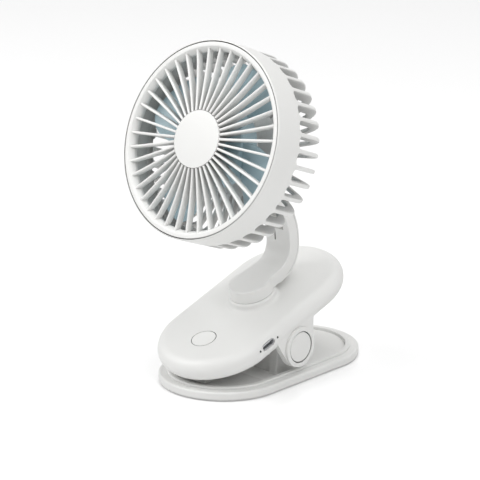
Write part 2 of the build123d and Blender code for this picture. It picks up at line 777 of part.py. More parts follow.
def slit_cut():
    """Narrow slit below the fork, where the wires go in."""
    reach = high_bend - arm_thick / 2 + arm_wall + 0.5
    wedge = make_face(sector(wire_slit_start, fork_start + 1, reach).edges())
    return side_slab(wedge, wire_slit_x - wire_slit / 2, wire_slit_x + wire_slit / 2)


def seam_groove():
    """Narrow groove along both sides of the arm, in front of its back cover."""
    back = -arm_thick / 2
    start = swivel_s + boss_radius + 0.4
    groove = arm_bar(back + seam_groove_width, back - 1, start, cover_end, arm_width + 2)
    core = arm_bar(back + 2, back - 2, start - 1, cover_end + 2, arm_width - 2 * seam_groove_depth)
    return groove - core


def arm_screw_frames():
    """Planes on the back of the arm's cover, facing forwards along each screw."""
    low_centre, high_centre = arm_centres()
    depth = arm_thick / 2 + back_cover
    frames = []
    for centre, bend, angle in ((low_centre, low_bend, arm_screw_angles[0]),
                                (high_centre, high_bend, arm_screw_angles[1])):
        a = radians(angle)
        at = (0, centre[0] + (bend + depth) * cos(a), centre[1] + (bend + depth) * sin(a))
        frames.append(Plane(origin=at, x_dir=(1, 0, 0), z_dir=(0, -cos(a), -sin(a))))
    return frames


def arm_posts():
    top = back_cover + arm_thick - arm_wall / 2
    return [f.location * disc(2.2, back_cover + 0.3, top) for f in arm_screw_frames()]


def arm_screw_holes(radius):
    return [f.location * disc(radius, -1, arm_thick + back_cover - 1.5) for f in arm_screw_frames()]


def arm_back_cover():
    """Thin cover that closes the arm's channel from behind."""
    half = arm_thick / 2
    start = swivel_s + boss_radius + 0.4
    cover = arm_bar(-half, -half - back_cover, start, cover_end, arm_width - 2 * cover_setback)
    cover -= arm_screw_holes(screw_radius + screw_gap)
    for f in arm_screw_frames():
        cover -= f.location * disc(screw_head_radius + screw_gap, -1, screw_head_height / 2)
    return cover


def arm_screws():
    """Two screws whose heads stand a little proud of the cover."""
    seat = screw_head_height / 2
    return [f.location * (disc(screw_radius - press_gap, seat, arm_thick + back_cover - 1.7)
                          + disc(screw_head_radius, seat - screw_head_height, seat))
            for f in arm_screw_frames()]


def tilt_pin():
    y, z = hinge_point()
    return cross_pin(tilt_pin_radius, -arm_width / 2, arm_width / 2, y, z)


def tilt_washers():
    """Friction washers between the fork and the knuckle."""
    y, z = hinge_point()
    low, high = knuckle_width / 2 + touch_gap, fork_slot / 2
    ring = cross_pin(fork_end_radius - 0.6, low, high, y, z)
    ring -= cross_pin(tilt_pin_radius + running_gap, 0, high + 1, y, z)
    return [ring, mirror(ring, Plane.YZ)]


# ================================================================ head
def head_shell():
    """Drum with a plain front band, and ribs that wrap round its rear edge."""
    drum = revolve(Plane.XZ * drum_profile(), Axis.Z)
    drum += disc(motor_radius, rib_depth / 2 - drum_depth, -motor_back)
    drum -= PolarLocations(0, slot_count, start_angle=slot_phase) * slot_cutter()
    for at in knuckle_screw_points():
        drum -= disc(screw_radius + screw_gap, -drum_depth - 1, 0, at)
    return HEAD.location * drum


def drum_profile():
    """Half section of the drum: radius across, axis up, front plane at 0."""
    outer = drum_radius
    inner = drum_radius - drum_wall
    lip = groove_radius + groove_width / 2
    back = -drum_depth
    wall = Polyline((0, back), (outer - drum_corner, back))
    corner = CenterArc((outer - drum_corner, back + drum_corner), drum_corner, 270, 90)
    front = Polyline((outer, back + drum_corner), (outer, -lip_round), (outer - lip_round, 0), (lip, 0),
                     (lip, -seat_depth), (inner, -seat_depth), (inner, -slot_start + 1),
                     (rib_inner_radius, -slot_start - 1), (rib_inner_radius, back + rib_depth + rib_corner),
                     (rib_inner_radius - rib_corner, back + rib_depth), (0, back + rib_depth), (0, back))
    return make_face(wall.edges() + corner.edges() + front.edges())


def slot_cutter():
    """Opens one slot: a round-cornered cut through the side wall and a taper across the rear."""
    knee, reach, low = rib_inner_radius - 0.5, drum_radius + 1, -drum_depth - 1
    half, near = slot_outer_width / 2, slot_inner_width / 2
    side = Polygon((knee, -half), (reach, -half), (reach, half), (knee, half), align=None)
    side = slab(side, low, -slot_start)
    ends = [e for e in end_edges(side) if abs((e @ 0).X - (e @ 1).X) > 1]
    side = fillet(ends, slot_round)
    rear = Polygon((rear_hub_radius, -near), (knee, -half), (knee, half), (rear_hub_radius, near), align=None)
    return side + slab(rear, low, rib_depth + rib_corner + 1 - drum_depth)


def knuckle_screw_points():
    return [(knuckle_screw_circle * cos(radians(a)), knuckle_screw_circle * sin(radians(a)))
            for a in (90, 210, 330)]


def front_grille():
    """Ring, sloped band, domed spokes and the hub behind the centre cap."""
    ring = revolve(Plane.XZ * ring_profile(), Axis.Z)
    hub = disc(hub_radius, hub_top - spoke_depth, hub_top)
    spokes = PolarLocations(0, spoke_count) * spoke()
    return HEAD.location * (ring + hub + spokes)


def ring_profile():
    outer = groove_radius - groove_width / 2
    inner_seat = drum_radius - drum_wall - seam_gap
    return Polygon((outer, -0.4), (outer - 0.4, 0), (band_outer + 0.4, 0), (band_outer, -0.4),
                   (band_inner, -band_drop), (band_inner, -ring_depth), (inner_seat, -ring_depth),
                   (inner_seat, -seat_depth), (outer, -seat_depth), align=None)


def spoke():
    """One spoke: a thin web whose front edge dips in a curve from hub to ring."""
    low = hub_top - spoke_depth
    front = Spline((centre_radius + 0.25, spoke_hub_top), (spoke_mid_radius, spoke_mid_top),
                   (band_outer - 0.3, spoke_end_top))
    rest = Polyline((band_outer - 0.3, spoke_end_top), (band_inner + 0.6, -band_drop),
                    (band_inner + 0.3, -ring_depth + 0.3), (hub_radius - 1, low),
                    (hub_radius - 1, hub_top - 0.1), (centre_radius + 0.25, hub_top - 0.1),
                    (centre_radius + 0.25, spoke_hub_top))
    web = make_face(front.edges() + rest.edges())
    return Pos(0, spoke_width / 2, 0) * extrude(Plane.XZ * web, spoke_width)


def centre_cap():
    """Slightly domed round cap over the grille's hub."""
    rise = centre_top - centre_edge
    dome = ThreePointArc((0, centre_top), (centre_radius * 0.5, centre_top - rise * 0.25),
                         (centre_radius, centre_edge))
    rest = Polyline((centre_radius, centre_edge), (centre_radius, hub_top), (0, hub_top), (0, centre_top))
    return HEAD.location * revolve(Plane.XZ * make_face(dome.edges() + rest.edges()), Axis.Z)


def motor():
    """Round can on the housing's boss, with the bore that the shaft runs in."""
    can = disc(motor_radius, -motor_back, -motor_front)
    can = fillet(end_edges(can), 0.8)
    can -= disc(shaft_radius + running_gap, -shaft_back - 0.3, 0)
    return HEAD.location * can


def motor_shaft():
    return HEAD.location * disc(shaft_radius, -shaft_back, -shaft_front)


def impeller():
    """Hub cup with blades that twist from root to tip."""
    hub = fillet(end_edges(disc(rotor_hub_radius, -rotor_back, -rotor_front)), 1.2)
    trimmed = blade() & disc(rotor_radius, -drum_depth, 0)
    rotor = hub + PolarLocations(0, blade_count, start_angle=blade_first_angle) * trimmed
    rotor -= disc(rotor_hub_radius - rotor_hub_wall, -drum_depth, -rotor_front - rotor_hub_wall)
    rotor += disc(shaft_boss, -motor_front + 0.4, -rotor_front - rotor_hub_wall / 2)
    rotor -= disc(shaft_radius + 0.01, -drum_depth, -shaft_front)
    return HEAD.location * rotor


def blade():
    """One blade lofted through sections that face outwards from the axis."""
    stations = (blade_root, (blade_root + blade_tip) / 2, blade_tip)
    sections = []
    for radius, chord, pitch in zip(stations, blade_chords, blade_pitches):
        at = Plane(origin=(radius, 0, -blade_middle), x_dir=(0, 1, 0), z_dir=(1, 0, 0))
        sections.append(at * Rot(0, 0, pitch) * blade_section(chord))
    return loft(sections)


def blade_section(chord):
    """Thin curved strip: the blade's section, hollow towards the rear."""
    sag = chord * 0.08
    top = ThreePointArc((-chord / 2, 0), (0, sag + blade_thick / 2), (chord / 2, 0))
    low = ThreePointArc((-chord / 2, -blade_thick), (0, sag - blade_thick / 2), (chord / 2, -blade_thick))
    ends = [Line(top @ 0, low @ 0), Line(top @ 1, low @ 1)]
    return make_face(top.edges() + low.edges() + ends[0].edges() + ends[1].edges())


def tilt_knuckle():
    """Round plate on the back of the head with the tongue that the pin holds."""
    back = -drum_depth
    plate = fillet(end_edges(disc(knuckle_plate_radius, back - knuckle_plate_thick, back), top=False), 1.5)
    v, w = world_to_head(*hinge_point())
    eye = Pos(v, w) * Circle(knuckle_radius)
    root = Line((knuckle_top, back - 1), (-knuckle_plate_radius + 0.8, back - 1))
    tongue = make_hull(eye.edges() + root.edges())
    plate += side_slab(tongue, -knuckle_width / 2, knuckle_width / 2)
    plate -= cross_pin(tilt_pin_radius + running_gap, -9, 9, v, w)
    for at in knuckle_screw_points():
        plate -= disc(screw_radius, back - knuckle_plate_thick + 0.8, back + 1, at)
    return HEAD.location * plate


def knuckle_screws():
    """Three screws from inside the drum into the knuckle's plate."""
    floor = -drum_depth + rib_depth
    low = -drum_depth - knuckle_plate_thick + 1.0
    return [HEAD.location * (disc(screw_radius - press_gap, low, floor, at)
                             + disc(screw_head_radius, floor, floor + screw_head_height, at))
            for at in knuckle_screw_points()]


# ================================================================ export
NODES = {
    "lower_jaw": lower_jaw,
    "base_plate": base_plate,
    "foot_pad": foot_pad,
    "base_screws": base_screws,
    "lower_grip_pad": lower_grip_pad,
    "pivot_pin": pivot_pin,
    "pivot_caps": pivot_caps,
    "torsion_spring": torsion_spring,
    "upper_shell": upper_shell,
    "underside_cover": underside_cover,
    "body_screws": body_screws,
    "upper_grip_pad": upper_grip_pad,
    "power_button": power_button,
    "tact_switch": tact_switch,
    "circuit_board": circuit_board,
    "usb_socket": usb_socket,
    "indicator_lights": indicator_lights,
    "battery": battery,
    "swivel_washer": swivel_washer,
    "swivel_retainer": swivel_retainer,
    "swivel_screw": swivel_screw,
    "arm_shell": arm_shell,
    "arm_back_cover": arm_back_cover,
    "arm_screws": arm_screws,
    "tilt_pin": tilt_pin,
    "tilt_washers": tilt_washers,
    "head_shell": head_shell,
    "front_grille": front_grille,
    "centre_cap": centre_cap,
    "motor": motor,
    "motor_shaft": motor_shaft,
    "impeller": impeller,
    "tilt_knuckle": tilt_knuckle,
    "knuckle_screws": knuckle_screws,
}

for name, make in NODES.items():
    made = make()
    shape = Compound(children=list(made)) if isinstance(made, list) else made
    export_step(shape, f"parts/{name}.step")
    print(f"{name:18s} volume {shape.volume:10.1f}")

print("tilt pin at world y, z:", [round(v, 2) for v in hinge_point()])
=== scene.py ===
import math

import bmesh
import bpy
import numpy as np
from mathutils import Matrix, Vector


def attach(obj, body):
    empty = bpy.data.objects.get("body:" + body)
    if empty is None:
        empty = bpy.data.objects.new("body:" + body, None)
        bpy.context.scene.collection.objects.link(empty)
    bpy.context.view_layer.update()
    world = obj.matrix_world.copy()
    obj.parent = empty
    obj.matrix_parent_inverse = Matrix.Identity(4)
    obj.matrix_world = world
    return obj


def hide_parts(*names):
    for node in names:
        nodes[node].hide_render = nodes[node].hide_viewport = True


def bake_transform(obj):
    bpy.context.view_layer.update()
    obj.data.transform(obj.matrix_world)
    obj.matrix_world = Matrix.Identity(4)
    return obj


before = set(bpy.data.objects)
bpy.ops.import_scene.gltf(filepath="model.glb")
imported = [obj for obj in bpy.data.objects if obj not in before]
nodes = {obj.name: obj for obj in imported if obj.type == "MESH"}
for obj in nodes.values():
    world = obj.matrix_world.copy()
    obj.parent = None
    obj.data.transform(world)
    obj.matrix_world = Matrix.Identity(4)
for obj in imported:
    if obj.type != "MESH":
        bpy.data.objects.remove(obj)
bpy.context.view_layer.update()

# ---------------------------------------------------------------- tray and bottom plate
# The lower jaw of the clip: an oval tray with a stepped rim, closed from below by a
# thin plate. Both are injection moulded in white ABS from a finely spark-eroded mould,
# and four screws from below hold them together.
MM = 0.001

# A Mix node has a set of sockets for each kind of data. These are the ones for colours.
MIX_FIRST, MIX_SECOND, MIX_RESULT = 6, 7, 2


def linear(hex_colour):
    """An sRGB hex colour as the linear RGBA that shaders take."""
    part = np.array([int(hex_colour[i:i + 2], 16) for i in (1, 3, 5)]) / 255
    part = np.where(part <= 0.04045, part / 12.92, ((part + 0.055) / 1.055) ** 2.4)
    return (*part.tolist(), 1.0)


def add(tree, kind, values=(), links=(), **settings):
    """Adds one shader node: its settings, the values of its sockets and its links."""
    node = tree.nodes.new("ShaderNode" + kind)
    for name, value in settings.items():
        setattr(node, name, value)
    for socket, value in dict(values).items():
        node.inputs[socket].default_value = value
    for socket, source in dict(links).items():
        tree.links.new(source, node.inputs[socket])
    return node


def new_material(name, **sockets):
    """A Principled material, with the numbers that are the same all over it."""
    material = bpy.data.materials.new(name)
    material.use_nodes = True
    surface = material.node_tree.nodes["Principled BSDF"]
    for socket, value in sockets.items():
        surface.inputs[socket.replace("_", " ")].default_value = value
    return material, material.node_tree, surface


def satin_plastic(name, light, dark, roughness, shade_reach=1.6, shade_tone=0.22, open_sky=0.62):
    """A plastic surface, as it leaves a mould or a roller.

    A broad cloud turns the colour a little, as flow in the mould does. The mould's eroded
    grain is about 0.1 mm, too fine for the render, so it is drawn as a shallow bump of
    0.9 mm. Gaps and inside corners get painted shade: the colour is darkened where little sky
    is seen, so that the shade of a seam 0.35 mm wide is not lost between two pixels. A point
    keeps its whole colour where it sees open_sky or more of the sky, past what stands within
    shade_reach in millimetres, and fades to shade_tone of it where it sees shut_in or less.
    """
    cloud_size, grain_size, grain_depth, shut_in = 35 * MM, 0.9 * MM, 0.012 * MM, 0.12
    material, tree, surface = new_material(name, Roughness=roughness, IOR=1.53)
    place = add(tree, "TexCoord").outputs["Object"]
    flow = add(tree, "TexNoise", {"Scale": 1 / cloud_size, "Detail": 2.0}, {"Vector": place})
    tone = add(tree, "Mix", {MIX_FIRST: linear(light), MIX_SECOND: linear(dark)},
               {"Factor": flow.outputs["Fac"]}, data_type="RGBA")
    # Painted shade: ambient occlusion darkens the colour in gaps and inside corners.
    gap = add(tree, "AmbientOcclusion", {"Distance": shade_reach * MM}, samples=8)
    kept = add(tree, "MapRange", {"From Min": shut_in, "From Max": open_sky, "To Min": shade_tone,
                                  "To Max": 1.0}, {"Value": gap.outputs["AO"]})
    painted_shade = add(tree, "Mix", {MIX_FIRST: (0, 0, 0, 1)},
                {"Factor": kept.outputs["Result"], MIX_SECOND: tone.outputs[MIX_RESULT]},
                data_type="RGBA")
    tree.links.new(painted_shade.outputs[MIX_RESULT], surface.inputs["Base Color"])
    erosion = add(tree, "TexNoise", {"Scale": 1 / grain_size, "Detail": 3.0}, {"Vector": place})
    bump = add(tree, "Bump", {"Strength": 0.35, "Distance": grain_depth},
               {"Height": erosion.outputs["Fac"]})
    tree.links.new(bump.outputs["Normal"], surface.inputs["Normal"])
    return material


def dress(material, *names):
    """Gives a material to CAD nodes whose shape stays."""
    for name in names:
        mesh = nodes[name].data
        mesh.materials.clear()
        mesh.materials.append(material)


# White ABS, moulded: a soft, even sheen with no sparkle, and painted shade that darkens its seams.
white_abs = satin_plastic("satin_white_ABS_moulded", "#ECECEA", "#E7E7E5", 0.42)
dress(white_abs, "lower_jaw", "base_plate")

# ---------------------------------------------------------------- soft pads
# The sheet that the clip stands on and the two pads between the jaws are thermoplastic
# rubber, moulded separately and glued into shallow seats.


def soft_rubber(name, light, dark):
    """A rubber surface: a cloud of dust turns the colour a little, and cells 0.8 mm across
    raise a pebbled grain."""
    dust_size, pebble_size, pebble_depth = 6 * MM, 0.8 * MM, 0.03 * MM
    material, tree, surface = new_material(name, Roughness=0.75, IOR=1.5)
    place = add(tree, "TexCoord").outputs["Object"]
    dust = add(tree, "TexNoise", {"Scale": 1 / dust_size, "Detail": 4.0}, {"Vector": place})
    tone = add(tree, "Mix", {MIX_FIRST: linear(light), MIX_SECOND: linear(dark)},
               {"Factor": dust.outputs["Fac"]}, data_type="RGBA")
    tree.links.new(tone.outputs[MIX_RESULT], surface.inputs["Base Color"])
    pebble = add(tree, "TexVoronoi", {"Scale": 1 / pebble_size}, {"Vector": place})
    bump = add(tree, "Bump", {"Strength": 0.4, "Distance": pebble_depth},
               {"Height": pebble.outputs["Distance"]})
    tree.links.new(bump.outputs["Normal"], surface.inputs["Normal"])
    return material


# Light grey rubber, moulded: dull, with no highlight beside the satin white.
grey_rubber = soft_rubber("matt_grey_TPE_moulded", "#DADAD8", "#D2D2D0")
dress(grey_rubber, "foot_pad", "lower_grip_pad", "upper_grip_pad")

# ---------------------------------------------------------------- screws and pins
# Pan-head screws, the pivot pin, the tilt pin and the swivel screw are zinc-plated
# steel, and so are the motor's shaft and the plate that holds the swivel from inside.


def bright_metal(name, light, dark, roughness):
    """A bare or plated metal surface: one cloud turns its colour and its gloss a little."""
    cloud_size, glossier, duller = 2.5 * MM, roughness - 0.06, roughness + 0.08
    material, tree, surface = new_material(name, Metallic=1.0)
    place = add(tree, "TexCoord").outputs["Object"]
    cloud = add(tree, "TexNoise", {"Scale": 1 / cloud_size, "Detail": 4.0}, {"Vector": place})
    tone = add(tree, "Mix", {MIX_FIRST: linear(light), MIX_SECOND: linear(dark)},
               {"Factor": cloud.outputs["Fac"]}, data_type="RGBA")
    tree.links.new(tone.outputs[MIX_RESULT], surface.inputs["Base Color"])
    gloss = add(tree, "MapRange", {"To Min": glossier, "To Max": duller},
                {"Value": cloud.outputs["Fac"]})
    tree.links.new(gloss.outputs["Result"], surface.inputs["Roughness"])
    return material


# Zinc-plated steel: bright, with a faint cloud where the plating lies thicker.
zinc_steel = bright_metal("zinc_plated_steel_turned", "#C8CACC", "#B2B5B8", 0.28)
dress(zinc_steel, "base_screws", "body_screws", "arm_screws", "knuckle_screws", "pivot_pin",
      "tilt_pin", "swivel_screw", "motor_shaft", "swivel_retainer")

# ---------------------------------------------------------------- torsion spring
# Drawn spring-steel wire, wound cold round the pin and nickel plated. One leg lies on the
# tray and one under the housing, so the turns wind up when the jaws open.
pin_middle = np.array([0.0, -5.2, 19.5]) * MM
wire_radius, coil_radius, coil_rise, leg_length = 0.75 * MM, 4.2 * MM, 2.1 * MM, 22.0 * MM
# The angle round the pin at which the first leg meets the turns, and how far they go on
# from there until the second leg leaves them.
coil_start, coil_turn = math.radians(235.08), math.radians(1562.62)
coil_steps, wire_steps = 220, 12
leg_shares = np.linspace(0.02, 1, 8)      # where the points of a leg lie along it
merge_distance, sharp_edge = 0.001 * MM, math.radians(35)


def spring_coil():
    """The spring: a circle carried along a helix round the pin. The angle falls along the
    wire while x rises in step, and each leg runs straight on from the end of the helix."""
    share = np.linspace(0, 1, coil_steps)[:, None]
    angle, rise = coil_start - coil_turn * share, coil_rise / (2 * math.pi)
    outward = np.hstack([0 * angle, np.cos(angle), np.sin(angle)])
    line = coil_radius * outward + rise * coil_turn * (share - 0.5) * [1, 0, 0]
    heading = np.hstack([rise + 0 * angle, coil_radius * np.sin(angle), -coil_radius * np.cos(angle)])
    heading /= np.linalg.norm(heading, axis=1, keepdims=True)
    leg = leg_shares * leg_length
    away = np.concatenate([-leg[::-1], np.zeros(coil_steps), leg])[:, None]
    pick = np.pad(np.arange(coil_steps), len(leg), mode="edge")
    outward, heading, line = outward[pick], heading[pick], line[pick] + heading[pick] * away
    turn = np.linspace(0, 2 * math.pi, wire_steps, endpoint=False)[:, None]
    section = np.cos(turn) * outward[:, None] + np.sin(turn) * np.cross(heading, outward)[:, None]
    return pin_middle + line[:, None] + wire_radius * section


def build(name, rings, bars, material, stands_for):
    """One object from grids of points, which stands for a CAD node. A ring closes on itself
    along both its ways. A bar closes along the second only, and has a flat cap at each end."""
    points, faces, start = [], [], 0
    for grid, is_bar in [(ring, False) for ring in rings] + [(bar, True) for bar in bars]:
        rows, columns = grid.shape[:2]
        index = start + np.arange(rows * columns).reshape(rows, columns)
        if not is_bar:
            index = np.vstack([index, index[:1]])
        index = np.hstack([index, index[:, :1]])
        quads = np.stack([index[:-1, :-1], index[:-1, 1:], index[1:, 1:], index[1:, :-1]], axis=-1)
        faces += quads.reshape(-1, 4).tolist()
        if is_bar:
            faces += [index[0, :-1].tolist(), index[-1, -2::-1].tolist()]
        points.append(grid.reshape(-1, 3))
        start += rows * columns
    mesh = bpy.data.meshes.new(name)
    mesh.from_pydata(np.concatenate(points).tolist(), [], faces)
    form = bmesh.new()
    form.from_mesh(mesh)
    bmesh.ops.remove_doubles(form, verts=form.verts, dist=merge_distance)
    bmesh.ops.recalc_face_normals(form, faces=form.faces)
    form.to_mesh(mesh)
    form.free()
    mesh.shade_smooth()
    mesh.set_sharp_from_angle(angle=sharp_edge)
    mesh.materials.append(material)
    piece = bpy.data.objects.new(name, mesh)
    bpy.context.scene.collection.objects.link(piece)
    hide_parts(stands_for)
    return piece


# Nickel-plated wire, drawn: darker and glossier than the screws, a bright line on each turn.
spring_wire = bright_metal("nickel_plated_spring_wire_drawn", "#B9BBBD", "#8F9295", 0.24)
spring = build("spring", [], [spring_coil()], spring_wire, "torsion_spring")
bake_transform(spring)

# ---------------------------------------------------------------- upper housing
# The upper jaw is a pillow-shaped shell of white ABS with two ears, closed by a cover from
# below. The round caps snap into the rings on the ears and hide the pin's ends.
dress(white_abs, "upper_shell", "underside_cover", "pivot_caps")

# ---------------------------------------------------------------- button and electrics
# The button is a moulding of its own, above a small switch. Behind the side openings are
# the stamped shell of the socket and two light pipes. The circuit board and the cell lie
# in the housing with them.

# White ABS from a smoother mould: a little whiter and glossier than the housing round it.
button_abs = satin_plastic("satin_white_ABS_button", "#EFEFED", "#EBEBE9", 0.34)
dress(button_abs, "power_button")

# Nickel-plated brass, stamped: pale, with a blurred gloss round the dark mouth.
socket_nickel = bright_metal("nickel_plated_brass_stamped", "#D2D3D5", "#C2C4C6", 0.5)
dress(socket_nickel, "usb_socket")

# Smoked acrylic, moulded: glossy and nearly black, so an unlit light is a dark dot.
smoked_acrylic = satin_plastic("smoked_acrylic_light_pipe", "#3A3C40", "#2E3034", 0.18)
dress(smoked_acrylic, "indicator_lights")

# Black nylon, moulded: dark, with a dull sheen.
black_nylon = satin_plastic("black_nylon_switch_body", "#26272A", "#1F2022", 0.45)
dress(black_nylon, "tact_switch")

# Glass epoxy under solder mask, rolled on and cured: deep green, with a lacquer's sheen.
green_board = satin_plastic("solder_masked_glass_epoxy", "#1F5B3A", "#184A30", 0.35)
dress(green_board, "circuit_board")

# Aluminium foil, heat sealed round the cell: silvery, with blurred reflections.
cell_foil = bright_metal("heat_sealed_aluminium_foil_pouch", "#C3C5C8", "#AFB2B5", 0.34)
dress(cell_foil, "battery")

# ---------------------------------------------------------------- swivel and tilt washers
# Flat friction washers, stamped from polyoxymethylene sheet. One lies under the arm's
# foot, and two stand between the head's knuckle and the arm's fork.

# Natural POM, rolled and stamped: creamy white and waxy.
waxy_pom = satin_plastic("natural_POM_washer_stamped", "#E4E4E0", "#DCDCD7", 0.5)
dress(waxy_pom, "swivel_washer", "tilt_washers")

# ---------------------------------------------------------------- arm
# The C-shaped arm is one white ABS moulding, open behind, with a thin cover on its back.
# The knuckle in its fork is a moulding of its own, screwed to the rear of the head.
dress(white_abs, "arm_shell", "arm_back_cover", "tilt_knuckle")

# ---------------------------------------------------------------- head housing
# One white ABS moulding: a plain front band, and 39 ribs that run back along the side, bend
# round the rear corner and meet in a round hub, which carries the motor on a short boss.
# The ribs' edges are softened, and each rib grows out of the band in a small fillet.
# The head's middle is where the fan's axis meets the housing's front face.
head_middle, head_tilt = np.array([0.0, -45.7, 131.4]) * MM, math.radians(20.8)
drum_radius, drum_depth, drum_corner, drum_wall = 51.0 * MM, 38.0 * MM, 9.0 * MM, 2.2 * MM
front_edge = 0.8 * MM
front_cut = 0.62 * front_edge      # a flat cut, which comes to that round once its corners are soft
seat_radius, seat_depth = 50.225 * MM, 3.0 * MM     # where the grille is let in
rib_count, first_slot = 39, math.radians(2.3)       # the angle of a slot's middle
rib_thick, rib_depth = 4.0 * MM, 5.8 * MM           # over the rear and along the side
rib_squareness = 5.5                                # the power of its superellipse
side_steps, bend_steps, rear_steps, section_steps = 24, 14, 20, 24
slot_start, slot_inner, slot_outer = 16.8 * MM, 1.5 * MM, 5.8 * MM
slot_widest = drum_radius - rib_thick - 0.5 * MM    # the slots widen outwards up to here
band_fillet, hub_fillet = 2.1 * MM, 0.7 * MM
rib_into_band, rib_into_hub = 0.55 * MM, 1.0 * MM   # how far the ribs run on
# The band's inside flares at its rear edge, to meet the ribs.
flare_radius, flare_height = drum_radius - rib_depth + 0.8 * MM, 1.0 * MM
hub_rim, motor_boss, motor_back = 23.0 * MM, 10.3 * MM, 26.0 * MM
band_round, hub_round, corner_steps = 0.6 * MM, 0.5 * MM, 4
band_steps, hub_steps = 240, 120


def in_head(x, y, z):
    """Points of the head in the world: z runs forwards along the fan's axis, x to the right
    and y upwards. They are turned by the head's tilt about x and moved to its middle."""
    c, s = math.cos(head_tilt), math.sin(head_tilt)
    return head_middle + np.stack([x, y * s - z * c, y * c + z * s], axis=-1)


def round_corners(corners, radius):
    """A closed outline with rounded corners: each corner is replaced by the parabola that
    starts radius before it and ends radius behind it, with the corner as control point. A
    short side gives up at most 0.45 of its length, and a corner on the axis stays."""
    here = np.array(corners)
    off_axis, pull = here[:, :1] > 0, []
    for side in (np.roll(here, 1, 0) - here, np.roll(here, -1, 0) - here):
        length = np.linalg.norm(side, axis=1, keepdims=True)
        pull.append(side / length * np.minimum(radius, length * 0.45) * off_axis)
    t = np.linspace(0, 1, corner_steps + 1)[None, :, None]
    return (here[:, None] + pull[0][:, None] * (1 - t) ** 2 + pull[1][:, None] * t ** 2).reshape(-1, 2)


def turned(outline, steps):
    """A body of revolution: every (radius, height) of a closed outline at every angle."""
    angle = np.linspace(0, 2 * math.pi, steps, endpoint=False)[:, None]
    radius, height = outline[:, 0], outline[:, 1] + 0 * angle
    return radius * np.cos(angle), radius * np.sin(angle), height


def superellipse(power, steps):
    """Points of |a|^power + |b|^power = 1, from the angle's cosine and sine: a rectangle
    with rounded corners, the softer the lower the power."""
    angle = np.linspace(0, 2 * math.pi, steps, endpoint=False)
    a, b = np.cos(angle), np.sin(angle)
    return np.sign(a) * np.abs(a) ** (2 / power), np.sign(b) * np.abs(b) ** (2 / power)


def fillet_width(distance, radius):
    """How far a form has grown sideways at a distance from what it meets: a quarter circle."""
    reach = np.clip(radius - distance, 0, radius)
    return radius - np.sqrt(radius ** 2 - reach ** 2)


def housing_ribs():
    """The ribs. Each is a soft rectangle carried along the side, round the corner and over
    the rear: b says how deep a point lies, a how far to the side of the rib's middle. A rib
    is deeper along the side than over the rear, and as wide as its slots leave it."""
    bend_radius, bend_depth = drum_radius - drum_corner, drum_depth - drum_corner
    straight = np.linspace(slot_start - rib_into_band, bend_depth, side_steps)
    bend = np.linspace(0, math.pi / 2, bend_steps)[1:]
    across = np.linspace(bend_radius, hub_rim - rib_into_hub, rear_steps)[1:]
    turn = np.concatenate([0 * straight, bend, math.pi / 2 + 0 * across])[:, None]
    centre_radius = np.concatenate([bend_radius + 0 * straight, bend_radius + 0 * bend, across])
    centre_depth = np.concatenate([straight, bend_depth + 0 * bend, bend_depth + 0 * across])
    a, b = superellipse(rib_squareness, section_steps)
    reach = drum_corner - (rib_thick + (rib_depth - rib_thick) * np.cos(turn)) * (1 - b) / 2
    radius = centre_radius[:, None] + reach * np.cos(turn)
    depth = centre_depth[:, None] + reach * np.sin(turn)
    growth = (slot_outer - slot_inner) / (slot_widest - hub_rim)
    slot = np.minimum(slot_inner + growth * (radius - hub_rim), slot_outer)
    fillets = fillet_width(depth - slot_start, band_fillet) + fillet_width(radius - hub_rim, hub_fillet)
    half = math.pi * radius / rib_count - slot / 2 + fillets
    middle = first_slot + (np.arange(rib_count)[:, None, None] + 0.5) * 2 * math.pi / rib_count
    angle = middle + a * half / radius
    ribs = np.stack([radius * np.cos(angle), radius * np.sin(angle), -depth + 0 * angle], axis=1)
    return [in_head(*rib) for rib in ribs]


# White ABS, moulded: the same sheen, with a soft shade between the ribs and inside the drum.
housing_abs = satin_plastic("satin_white_ABS_housing_moulded", "#ECECEA", "#E7E7E5", 0.42,
                            shade_reach=20.0, shade_tone=0.42, open_sky=0.88)
band_outline = [(drum_radius, -slot_start), (drum_radius, -front_cut), (drum_radius - front_cut, 0),
                (seat_radius, 0), (seat_radius, -seat_depth), (drum_radius - drum_wall, -seat_depth),
                (drum_radius - drum_wall, flare_height - slot_start), (flare_radius, -slot_start)]
rear_hub_outline = [(0, -drum_depth), (hub_rim, -drum_depth), (hub_rim, rib_thick - drum_depth),
                    (motor_boss, rib_thick - drum_depth), (motor_boss, -motor_back), (0, -motor_back)]
band = in_head(*turned(round_corners(band_outline, band_round), band_steps))
rear_hub = in_head(*turned(round_corners(rear_hub_outline, hub_round), hub_steps))
head_housing = build("head_housing", [band, rear_hub], housing_ribs(), housing_abs, "head_shell")
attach(head_housing, "head")

# ---------------------------------------------------------------- front grille
# A second white moulding, let into the front of the housing: a ring with a sloped inside
# and 39 thin webs, whose front edges dip in a curve from the hub to the ring. A round cap
# is pressed into the hub.
ring_seam = 0.45 * MM                                # the dark line round the ring
ring_rim, ring_mouth, ring_bore, ring_foot = seat_radius - ring_seam, 47.5 * MM, 45.6 * MM, 48.65 * MM
# Heights count forwards from the front face, so what lies behind it is below zero.
ring_slope, ring_back, ring_round = 3.2 * MM, -5.0 * MM, 0.4 * MM
grille_hub_rim, grille_hub_front, grille_hub_round = 13.8 * MM, 0.9 * MM, 0.3 * MM
web_width, web_back, web_back_taper = 1.3 * MM, -4.7 * MM, 0.08
# The webs run on into the hub and the ring.
web_root, web_tip = grille_hub_rim - 1.0 * MM, ring_mouth - 0.4 * MM
web_steps, web_section_steps = 24, 20
web_fronts = np.array([(14.85, 1.9), (25.0, 0.5), (47.2, -0.8)]) * MM     # radius, height
# The cap lies on the webs, whose front edge is stepped down to its seat inside its rim.
cap_rim, cap_seat, cap_step = 14.84 * MM, 0.8 * MM, 0.01 * MM


